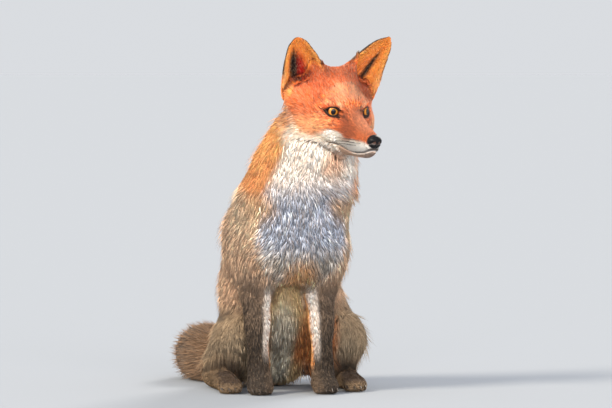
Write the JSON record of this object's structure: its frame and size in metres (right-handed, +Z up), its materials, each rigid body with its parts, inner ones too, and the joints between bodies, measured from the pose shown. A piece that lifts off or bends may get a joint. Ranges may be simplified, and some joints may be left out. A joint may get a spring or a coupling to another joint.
{
  "type": "red fox, sitting",
  "caption": "Life-size still model of a red fox sitting upright, head turned to its left, ears pricked, brush laid round behind it on the ground.",
  "frame": {"origin": "on the ground, under the middle of the whole figure's outline", "axes": "+Z up from the ground; the fox's chest faces -Y and its tail lies towards +Y; +X is the fox's left"},
  "size_m": [0.283, 0.5214, 0.5365],
  "materials": {
    "coat": "dense ginger and tan fur with grey and black tips",
    "coat_white": "soft white fur of the jaw, throat and chest",
    "coat_black": "short black fur of the legs and feet",
    "nose": "moist, finely pebbled black skin",
    "eye": "clear and wet over an amber iris",
    "claw": "dark horn"
  },
  "bodies": {
    "root": {"head": "coat", "lower_jaw": "coat_white", "nose": "nose", "eye_right": "eye", "eye_left": "eye", "ear_right": "coat", "ear_left": "coat", "neck": "coat", "trunk": "coat", "foreleg_right": "coat_black", "foreleg_left": "coat_black", "forepaw_right": "coat_black", "forepaw_left": "coat_black", "thigh_right": "coat", "thigh_left": "coat", "hindfoot_right": "coat_black", "hindfoot_left": "coat_black", "tail": "coat", "forepaw_right_claw_1": "claw", "forepaw_right_claw_2": "claw", "forepaw_right_claw_3": "claw", "forepaw_right_claw_4": "claw", "forepaw_left_claw_1": "claw", "forepaw_left_claw_2": "claw", "forepaw_left_claw_3": "claw", "forepaw_left_claw_4": "claw", "hindfoot_right_claw_1": "claw", "hindfoot_right_claw_2": "claw", "hindfoot_right_claw_3": "claw", "hindfoot_right_claw_4": "claw", "hindfoot_left_claw_1": "claw", "hindfoot_left_claw_2": "claw", "hindfoot_left_claw_3": "claw", "hindfoot_left_claw_4": "claw"}
  },
  "joints": []
}
